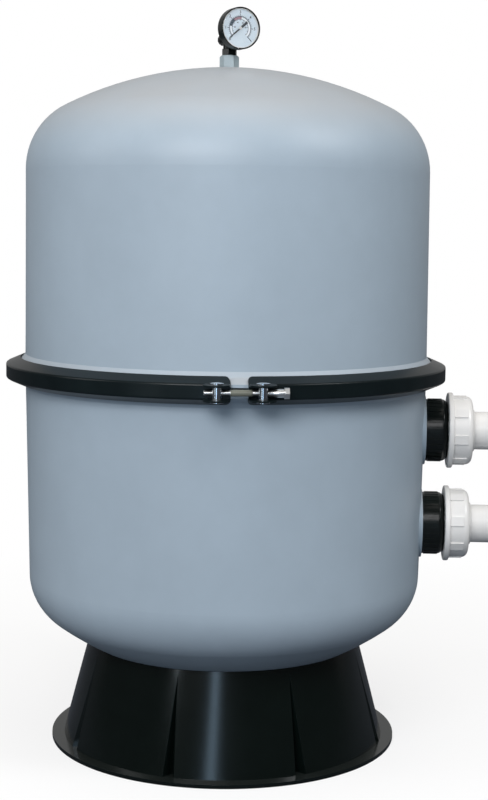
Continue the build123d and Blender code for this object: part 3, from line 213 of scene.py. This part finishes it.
crownDust = {"start": 0.25, "full": 1.0, "patch": 14.0, "amount": 0.55, "colour": (0.40, 0.39, 0.38)}
# Grey on the up-facing faces of the black plastics: some dust, and partly a painted sheen that stands in for
# reflected light
footDustAndSheen = {"start": 0.55, "full": 0.95, "patch": 40.0, "amount": 0.12, "colour": (0.09, 0.10, 0.095)}
finishes = {
    "tank_plastic": finish("tankPlastic", (0.335, 0.405, 0.465), 0.46, tone=0.03, bump=0.25, grain=900,
                           dust=crownDust),
    "adapter_plastic": finish("adapterPlastic", (0.34, 0.41, 0.435), 0.36, tone=0.05),
    "black_plastic": finish("blackPlastic", (0.0035, 0.0055, 0.005), 0.22, tone=0.15, specular=0.42,
                            dust=footDustAndSheen),
    "band_coating": finish("bandCoating", (0.005, 0.009, 0.010), 0.3, tone=0.2, specular=0.2),
    "chrome": finish("chrome", (0.72, 0.75, 0.79), 0.09, metallic=1.0, tone=0.03, bump=0.04),
    "zinc_steel": finish("zincSteel", (0.80, 0.80, 0.78), 0.34, metallic=1.0),
    "sleeve_plastic": finish("sleevePlastic", (0.15, 0.155, 0.125), 0.24),
    "rubber": finish("rubber", (0.010, 0.011, 0.012), 0.7),
    "white_plastic": finish("whitePlastic", (0.76, 0.745, 0.72), 0.24, tone=0.015, bump=0.1),
    "inner_pipe": finish("innerPipe", (0.74, 0.74, 0.71), 0.35, tone=0.02),
    "brass": finish("brass", (0.62, 0.44, 0.17), 0.3, metallic=1.0),
    "dial_face": finish("dialFace", (0.66, 0.74, 0.80), 0.5, tone=0.01, bump=0.03),
    "pointer_paint": finish("pointerPaint", (0.008, 0.014, 0.022), 0.35, tone=0.05),
}

lens = {"colour": (0.98, 0.99, 1.0, 1), "roughness": 0.03, "bending": 1.45}
lensGlass = bpy.data.materials.new("lensGlass")
lensGlass.use_nodes = True
lensShader = lensGlass.node_tree.nodes["Principled BSDF"]
lensShader.inputs["Base Color"].default_value = lens["colour"]
lensShader.inputs["Roughness"].default_value = lens["roughness"]
lensShader.inputs["IOR"].default_value = lens["bending"]
lensShader.inputs["Transmission Weight"].default_value = 1.0
finishes["lens"] = lensGlass

for name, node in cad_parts.items():
    slotName = node.data.materials[0].name.split(".")[0]
    wear(node, finishes[slotName])
print("finishes on:", len(finishes))

# Gauge: printed dial, its numbers, the needle with its hub and the pale ring round the dial, a painted
# highlight that stands in for light caught on the lens edge.
# Bearings are degrees clockwise from the dial's top, and depths run out from the tank's axis.
gauge = {
    "turn": 27.5,         # from the front towards the pipes
    "height": 0.936481,
    "dialFront": 0.0329,
    "inkLift": 0.00004,
}
facingOut = (sin(radians(gauge["turn"])), -cos(radians(gauge["turn"])), 0.0)
alongDial = (-facingOut[1], facingOut[0], 0.0)

dialPrint = {
    "sweep": 135.0,       # to either side of the top
    "ink": (0.03, 0.055, 0.08),
    "redInk": (0.33, 0.13, 0.17),
    "darkInk": (0.02, 0.045, 0.07),
    "paleInk": (0.86, 0.88, 0.90),
    "arcs": [             # inner and outer radius, first and last bearing, ink, strength
        (0.0112, 0.0147, -135, 135, "paleInk", 0.8),
        (0.0116, 0.0147, -40, 8, "redInk", 0.9),
        (0.0116, 0.0155, -80, -38, "darkInk", 1.0),
        (0.0143, 0.0152, -135, 135, "ink", 1.0),
        (0.0109, 0.0115, -135, 135, "ink", 1.0),
    ],
    "ticks": [            # degrees apart, inner and outer radius, width
        (4.5, 0.0147, 0.0161, 0.00036),
        (9.0, 0.0147, 0.0167, 0.00046),
        (45.0, 0.0147, 0.0181, 0.00085),
        (27.0, 0.0096, 0.0112, 0.00050),
    ],
    "stopLine": (135, 0.0141, 0.0225, 0.0011),   # bearing, inner and outer radius, width
    "ringBlur": 0.00008,
    "endBlur": 0.00006,
    "sideBlur": 0.00004,
    "bearingBlur": 0.01,
    "sweepMargin": 0.012,
    "sweepBlur": 0.008,
}


def between(tree, value, low, high, soft):   # 1 where low < value < high
    shifted = arithmetic(tree, "MULTIPLY_ADD", value, 1.0, -(low + high) / 2)
    distance = arithmetic(tree, "ABSOLUTE", shifted)
    half = (high - low) / 2
    return mapRange(tree, distance, half - soft, half + soft, low=1.0, high=0.0)


def both(tree, one, other):   # product of two masks
    return arithmetic(tree, "MULTIPLY", one, other)


def dialPaint():
    material = finish("dialPrint", (0.66, 0.74, 0.80), 0.5, tone=0.01, bump=0.03)
    tree = material.node_tree
    shader = tree.nodes["Principled BSDF"]
    place = addNode(tree, "ShaderNodeTexCoord").outputs["Object"]
    sideways = addNode(tree, "ShaderNodeVectorMath", operation="DOT_PRODUCT")
    sideways.inputs[1].default_value = alongDial
    tree.links.new(place, sideways.inputs[0])
    across = sideways.outputs["Value"]
    up = arithmetic(tree, "SUBTRACT", heightOf(tree, place), gauge["height"])
    flat = addNode(tree, "ShaderNodeCombineXYZ")
    tree.links.new(across, flat.inputs[0])
    tree.links.new(up, flat.inputs[1])
    length = addNode(tree, "ShaderNodeVectorMath", operation="LENGTH")
    tree.links.new(flat.outputs[0], length.inputs[0])
    radius = length.outputs["Value"]
    bearing = arithmetic(tree, "ARCTAN2", across, up)
    reach = radians(dialPrint["sweep"]) + dialPrint["sweepMargin"]
    swept = between(tree, bearing, -reach, reach, dialPrint["sweepBlur"])

    def bar(offset, low, high, width):   # a line along the radius, at this offset from its middle
        sides = between(tree, both(tree, offset, radius), -width / 2, width / 2, dialPrint["sideBlur"])
        return both(tree, sides, between(tree, radius, low, high, dialPrint["endBlur"]))

    layers = []
    for low, high, first, last, ink, strength in dialPrint["arcs"]:
        ring = between(tree, radius, low, high, dialPrint["ringBlur"])
        span = between(tree, bearing, radians(first), radians(last), dialPrint["bearingBlur"])
        layers.append((both(tree, ring, span), dialPrint[ink], strength))
    for step, low, high, width in dialPrint["ticks"]:
        nearest = arithmetic(tree, "PINGPONG", bearing, radians(step) / 2)
        layers.append((both(tree, bar(nearest, low, high, width), swept), dialPrint["ink"], 1.0))
    at, low, high, width = dialPrint["stopLine"]
    fromStop = arithmetic(tree, "SUBTRACT", bearing, radians(at))
    layers.append((bar(fromStop, low, high, width), dialPrint["ink"], 1.0))

    colour = shader.inputs["Base Color"].links[0].from_socket
    for mask, ink, strength in layers:
        colour = mixColour(tree, arithmetic(tree, "MULTIPLY", mask, strength), colour, ink)
    tree.links.new(colour, shader.inputs["Base Color"])
    return material


def onDial(depth):   # local X to the right, Y up and Z out of the dial, at the given depth
    turn = Matrix(((alongDial[0], 0, facingOut[0]), (alongDial[1], 0, facingOut[1]), (0, 1, 0))).to_4x4()
    centre = Vector((facingOut[0] * depth, facingOut[1] * depth, gauge["height"]))
    return Matrix.Translation(centre) @ turn


def vertsOf(extruded):
    return [v for v in extruded["geom"] if isinstance(v, bmesh.types.BMVert)]


def addPiece(name, bm, body, slot, smooth=True):
    mesh = bpy.data.meshes.new(name)
    bmesh.ops.recalc_face_normals(bm, faces=bm.faces)
    bm.to_mesh(mesh)
    bm.free()
    for face in mesh.polygons:
        face.use_smooth = smooth
    piece = bpy.data.objects.new(name, mesh)
    bpy.context.collection.objects.link(piece)
    mesh.materials.append(finishes[slot])
    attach(piece, body)
    return piece


wear(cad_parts["gauge_dial"], dialPaint())

lettering = {
    "rings": [   # how many numbers, step in value, degrees apart, radius and letter size
        (6, 1, 45.0, 0.0203, 0.0050),
        (5, 20, 54.0, 0.0077, 0.0026),
    ],
    "growth": 0.02,   # of the letter size, to thicken the strokes
}
numbers = bmesh.new()
for count, valueStep, apart, radius, size in lettering["rings"]:
    for number in range(count):
        letters = bpy.data.curves.new("number", "FONT")
        letters.body = str(valueStep * number)
        letters.size = size
        letters.offset = size * lettering["growth"]
        letters.align_x = "CENTER"
        letters.align_y = "CENTER"
        holder = bpy.data.objects.new("number", letters)
        inkMesh = bpy.data.meshes.new_from_object(holder)
        bearing = radians(apart * number - dialPrint["sweep"])
        shift = Vector((radius * sin(bearing), radius * cos(bearing), 0))
        inkMesh.transform(onDial(gauge["dialFront"] + gauge["inkLift"]) @ Matrix.Translation(shift))
        numbers.from_mesh(inkMesh)
        bpy.data.objects.remove(holder)
        bpy.data.meshes.remove(inkMesh)
addPiece("dialNumbers", numbers, "filter", "pointer_paint", smooth=False)

needle = {
    "angle": 220.0,
    "halfOutline": [(0.0192, 0.00045), (0, 0.0011), (-0.0035, 0.0016), (-0.0125, 0.0016)],
    "thickness": 0.0004,
    "edge": 0.00008,
    "lift": 0.0008,
}
blade = bmesh.new()
corners = needle["halfOutline"] + [(x, -y) for x, y in reversed(needle["halfOutline"])]
underside = blade.faces.new([blade.verts.new((x, y, 0)) for x, y in corners])
raised = bmesh.ops.extrude_face_region(blade, geom=[underside])
bmesh.ops.translate(blade, verts=vertsOf(raised), vec=(0, 0, needle["thickness"]))
bmesh.ops.bevel(blade, geom=blade.edges[:], offset=needle["edge"], affect="EDGES", segments=1,
                profile=0.5, material=-1)
bladeTurn = Matrix.Rotation(radians(needle["angle"]), 4, "Z")
blade.transform(onDial(gauge["dialFront"] + needle["lift"]) @ bladeTurn)
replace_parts(addPiece("gaugeNeedle", blade, "gauge_hand", "pointer_paint", smooth=False), "gauge_pointer")

hub = {"radius": 0.0021, "height": 0.0009, "edge": 0.0003, "lift": 0.0015, "segments": 32}
cap = bmesh.new()
bmesh.ops.create_cone(cap, cap_ends=True, segments=hub["segments"], radius1=hub["radius"],
                      radius2=hub["radius"], depth=hub["height"])
rims = [e for e in cap.edges if abs(e.verts[0].co.z - e.verts[1].co.z) < hub["height"] / 2]
bmesh.ops.bevel(cap, geom=rims, offset=hub["edge"], affect="EDGES", segments=3, profile=0.5, material=-1)
cap.transform(onDial(gauge["dialFront"] + hub["lift"]))
addPiece("needleHub", cap, "gauge_hand", "white_plastic")

# Pale ring round the dial: a painted highlight, a solid white ring standing in for the light that the lens
# edge catches
lensGlint = {"inner": 0.0242, "outer": 0.02545, "depth": 0.03495, "wall": 0.0019, "segments": 96}
ring = bmesh.new()
bmesh.ops.create_circle(ring, segments=lensGlint["segments"], radius=lensGlint["inner"])
inside = ring.edges[:]
outward = vertsOf(bmesh.ops.extrude_edge_only(ring, edges=inside))
growth = lensGlint["outer"] / lensGlint["inner"]
bmesh.ops.scale(ring, vec=(growth, growth, 1), verts=outward)
inward = vertsOf(bmesh.ops.extrude_edge_only(ring, edges=inside))
bmesh.ops.translate(ring, vec=(0, 0, -lensGlint["wall"]), verts=inward)
ring.transform(onDial(lensGlint["depth"]))
addPiece("lensGlintRing", ring, "filter", "white_plastic")
print("gauge dressed")

# Stand: the moulded skirt with its folded grooves, finer than the solid that it stands for.
# Each of its sides begins with a column of points at the bottom of a groove.
stand = {
    "sides": 8,
    "columns": 18,            # of points on each side
    "grooveBearing": -14.5,   # of one groove, from the front
    "brimRadius": 0.231,
    "brimTop": 0.005,
    "flatFoot": 0.209,
    "roundFoot": 0.2155,
    "flatShare": 0.14,
    "neckRadius": 0.181,
    "neckHeight": 0.1332,
    "neckEdge": 0.005,
    "seatRadius": 0.157,
    "dishCentre": 0.473281,
    "dishRadius": 0.3853,
    "grooveTop": 0.1255,
    "grooveSlit": 0.0005,     # width at its very top
    "grooveWidth": 0.012,
    "grooveDepth": 0.016,
    "grooveLevels": 12,
    "collarLevels": [0.128, 0.1305],
    "wall": 0.005,
    "sharpFrom": 32.0,
    "edge": 0.0009,
    "edgeFrom": 38.0,
}
standPlastic = finish("standPlastic", (0.002, 0.0042, 0.0036), 0.18, tone=0.15, bump=0.05, roughSpread=0.08,
                      wave=4.0, specular=0.42, dust=footDustAndSheen)


def dishHeight(radius):   # underside of the tank, less its small gap
    return stand["dishCentre"] - sqrt(stand["dishRadius"] ** 2 - radius ** 2)


def skirtPoint(column, height):   # point of the skirt's outer skin
    sector = 2 * pi / stand["sides"]
    side, step = divmod(column, stand["columns"])
    fall = max(0.0, (stand["neckHeight"] - height) / (stand["neckHeight"] - stand["brimTop"]))
    fold = max(0.0, (stand["grooveTop"] - height) / (stand["grooveTop"] - stand["brimTop"]))
    halfWidth = (stand["grooveSlit"] + fold * stand["grooveWidth"]) / 2 / stand["neckRadius"]
    if step == 0:
        local = 0.0
    else:
        local = halfWidth + (sector - 2 * halfWidth) * (step - 1) / (stand["columns"] - 2)
    flat = stand["neckRadius"] + fall * (stand["flatFoot"] - stand["neckRadius"])
    full = stand["neckRadius"] + fall * (stand["roundFoot"] - stand["neckRadius"])
    share = stand["flatShare"] * fall
    radius = (1 - share) * full + share * flat / cos(local - sector / 2)
    if step == 0:
        radius -= fold * stand["grooveDepth"]
    bearing = radians(stand["grooveBearing"] - 90) + side * sector + local
    return Vector((radius * cos(bearing), radius * sin(bearing), height))


def ringPoint(column, radius, height):   # on a true circle, straight out from the skirt's column
    point = skirtPoint(column, height)
    point.z = 0
    point = point.normalized() * radius
    point.z = height
    return point


skirt = bmesh.new()
columnCount = stand["sides"] * stand["columns"]
bmesh.ops.create_circle(skirt, segments=columnCount, radius=1.0)
grooveFall = stand["grooveTop"] - stand["brimTop"]
levels = [stand["brimTop"] + grooveFall * n / stand["grooveLevels"] for n in range(stand["grooveLevels"] + 1)]
levels += [*stand["collarLevels"], dishHeight(stand["neckRadius"])]
seatRadii = [stand["neckRadius"] - stand["neckEdge"], stand["seatRadius"]]
edges = skirt.edges[:]
for ringNumber in range(len(levels) + len(seatRadii)):   # rings one metre apart, put in place below
    grown = bmesh.ops.extrude_edge_only(skirt, edges=edges)
    bmesh.ops.translate(skirt, verts=vertsOf(grown), vec=(0, 0, 1))
    edges = [e for e in grown["geom"] if isinstance(e, bmesh.types.BMEdge)]
    edges = [e for e in edges if abs(e.verts[0].co.z - e.verts[1].co.z) < 0.5]   # the new ring's own
for vert in skirt.verts:
    ringNumber = round(vert.co.z)
    bearing = atan2(vert.co.y, vert.co.x)
    column = round(bearing / (2 * pi) * columnCount) % columnCount
    if ringNumber == 0:
        vert.co = ringPoint(column, stand["brimRadius"], stand["brimTop"])
    elif ringNumber <= len(levels):
        vert.co = skirtPoint(column, levels[ringNumber - 1])
    else:
        seat = seatRadii[ringNumber - len(levels) - 1]
        vert.co = ringPoint(column, seat, stand["neckHeight"])
        vert.co.z = dishHeight(seat)
bmesh.ops.recalc_face_normals(skirt, faces=skirt.faces)
if sum(face.normal.dot(face.calc_center_median()) for face in skirt.faces) < 0:
    bmesh.ops.reverse_faces(skirt, faces=skirt.faces)
skirtMesh = bpy.data.meshes.new("standShell")
skirt.to_mesh(skirtMesh)
skirt.free()
skirtMesh.shade_smooth()
skirtMesh.set_sharp_from_angle(angle=radians(stand["sharpFrom"]))
standShell = bpy.data.objects.new("standShell", skirtMesh)
bpy.context.collection.objects.link(standShell)
thick = standShell.modifiers.new("wall", "SOLIDIFY")
thick.thickness = stand["wall"]
thick.offset = -1.0
worn = standShell.modifiers.new("wornEdges", "BEVEL")
worn.width = stand["edge"]
worn.segments = 2
worn.limit_method = "ANGLE"
worn.angle_limit = radians(stand["edgeFrom"])
worn.harden_normals = True
skirtMesh.materials.append(standPlastic)
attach(standShell, "filter")
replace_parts(standShell, "base_stand")
print("stand moulded")

# Studio: a pale floor that runs into a white surround, soft boxes above and in front
studio = {
    "floorReach": 30.0,
    "floorRoughness": 0.9,
    "floorSpecular": 0.1,
    "floorColour": (0.93, 0.93, 0.93),
    "floorBounce": (0.09, 0.10, 0.12),   # what the object gets back from the floor
    "glowFrom": 0.25,                    # the floor's own glow grows between these distances
    "glowTo": 1.2,
    "leastGlow": 0.70,
    "lowSky": (0.32, 0.355, 0.395),
    "highSky": (0.56, 0.53, 0.50),
    "skyFrom": -0.1,
    "skyTo": 0.9,
    "frontGloss": 0.05,
    "backGloss": 0.42,
    "glossFrom": 0.2,
    "lamps": [   # name, place, aim, width, height, power and tint
        ("keyLamp", (-0.6, -2.9, 2.05), (0, 0, 0.75), 2.0, 1.1, 67.0, (0.98, 0.98, 1.0)),
        ("leftLamp", (-2.8, -0.9, 1.8), (0, 0, 0.8), 1.0, 1.2, 15.0, (0.98, 0.99, 1.0)),
        ("topLamp", (-0.15, -0.30, 3.0), (0, 0, 0.5), 1.8, 1.8, 9.0, (1.0, 0.93, 0.87)),
        ("rightLamp", (2.5, -1.3, 2.9), (0, 0, 1.05), 1.0, 1.2, 44.0, (0.96, 0.98, 1.0)),
        ("nearStrip", (-0.10, -2.75, 0.70), (0, 0, 0.3), 0.24, 1.3, 5.2, (0.54, 0.77, 1.0)),
        ("farStrip", (-1.60, -2.43, 0.75), (0, 0, 0.4), 0.12, 1.3, 2.6, (0.80, 0.92, 1.0)),
        ("rightStrip", (2.1, -2.1, 1.95), (0, 0, 0.5), 0.2, 0.8, 2.0, (0.9, 0.96, 1.0)),
    ],
}

mesh = bpy.data.meshes.new("floor")
bm = bmesh.new()
bmesh.ops.create_grid(bm, x_segments=1, y_segments=1, size=studio["floorReach"])
bm.to_mesh(mesh)
bm.free()
floor = bpy.data.objects.new("floor", mesh)
bpy.context.collection.objects.link(floor)
floorPaint = bpy.data.materials.new("floorPaint")
floorPaint.use_nodes = True
tree = floorPaint.node_tree
floorShader = tree.nodes["Principled BSDF"]
floorShader.inputs["Roughness"].default_value = studio["floorRoughness"]
floorShader.inputs["Specular IOR Level"].default_value = studio["floorSpecular"]
bounced = eitherRay(tree, "Is Diffuse Ray", "Is Glossy Ray")
floorTone = mixColour(tree, bounced, studio["floorColour"], studio["floorBounce"])
tree.links.new(floorTone, floorShader.inputs["Base Color"])
spot = addNode(tree, "ShaderNodeTexCoord")
distance = addNode(tree, "ShaderNodeVectorMath", operation="LENGTH")
tree.links.new(spot.outputs["Object"], distance.inputs[0])
fade = mapRange(tree, distance.outputs["Value"], studio["glowFrom"], studio["glowTo"],
                low=studio["leastGlow"])
share = arithmetic(tree, "MULTIPLY", eitherRay(tree, "Is Camera Ray", "Is Transmission Ray"), fade)
glow = addNode(tree, "ShaderNodeEmission")
glow.inputs["Strength"].default_value = 1.0
blendFloor = addNode(tree, "ShaderNodeMixShader")
tree.links.new(share, blendFloor.inputs[0])
tree.links.new(floorShader.outputs[0], blendFloor.inputs[1])
tree.links.new(glow.outputs[0], blendFloor.inputs[2])
tree.links.new(blendFloor.outputs[0], tree.nodes["Material Output"].inputs["Surface"])
floor.data.materials.append(floorPaint)

for name, at, aim, width, height, power, tint in studio["lamps"]:
    light = bpy.data.lights.new(name, "AREA")
    light.shape = "RECTANGLE"
    light.size = width
    light.size_y = height
    light.energy = power
    light.color = tint
    lamp = bpy.data.objects.new(name, light)
    lamp.location = at
    lamp.rotation_euler = (Vector(at) - Vector(aim)).to_track_quat("Z", "Y").to_euler()
    bpy.context.collection.objects.link(lamp)

world = bpy.data.worlds.new("studio")
bpy.context.scene.world = world
world.use_nodes = True
tree = world.node_tree
direction = addNode(tree, "ShaderNodeTexCoord")
parts = addNode(tree, "ShaderNodeSeparateXYZ")
tree.links.new(direction.outputs["Generated"], parts.inputs[0])
climb = mapRange(tree, parts.outputs["Z"], studio["skyFrom"], studio["skyTo"], curve="SMOOTHSTEP")
skyTone = mixColour(tree, climb, studio["lowSky"], studio["highSky"])
room = mapRange(tree, parts.outputs["Y"], studio["glossFrom"], 1.0, low=studio["frontGloss"],
                high=studio["backGloss"], curve="SMOOTHSTEP")
path = addNode(tree, "ShaderNodeLightPath")
glossTone = mixColour(tree, path.outputs["Is Glossy Ray"], skyTone, room)
seen = eitherRay(tree, "Is Camera Ray", "Is Transmission Ray")
backTone = mixColour(tree, seen, glossTone, (1, 1, 1))
tree.links.new(backTone, tree.nodes["Background"].inputs["Color"])
print("studio set")

# Camera, at the photograph's viewing angle
viewpoint = {
    "distance": 2.120,
    "height": 0.6946,
    "azimuth": 3.5,
    "lens": 71.91,
    "sensor": 36.0,
    "pitch": 0.1133,
    "yaw": 0.0114,
    "roll": 0.0115,
}
cameraData = bpy.data.cameras.new("camera")
cameraData.lens = viewpoint["lens"]
cameraData.sensor_width = viewpoint["sensor"]
camera = bpy.data.objects.new("camera", cameraData)
bpy.context.collection.objects.link(camera)
around = radians(viewpoint["azimuth"])
tripod = Matrix.Translation(
    (
        viewpoint["distance"] * sin(around),
        -viewpoint["distance"] * cos(around),
        viewpoint["height"],
    )
)
aim = Matrix.Rotation(around - viewpoint["yaw"], 4, "Z")
aim = aim @ Matrix.Rotation(pi / 2 - viewpoint["pitch"], 4, "X")
aim = aim @ Matrix.Rotation(viewpoint["roll"], 4, "Z")
camera.matrix_world = tripod @ aim
bpy.context.scene.camera = camera
bpy.context.scene.view_settings.view_transform = "Standard"

print("done")
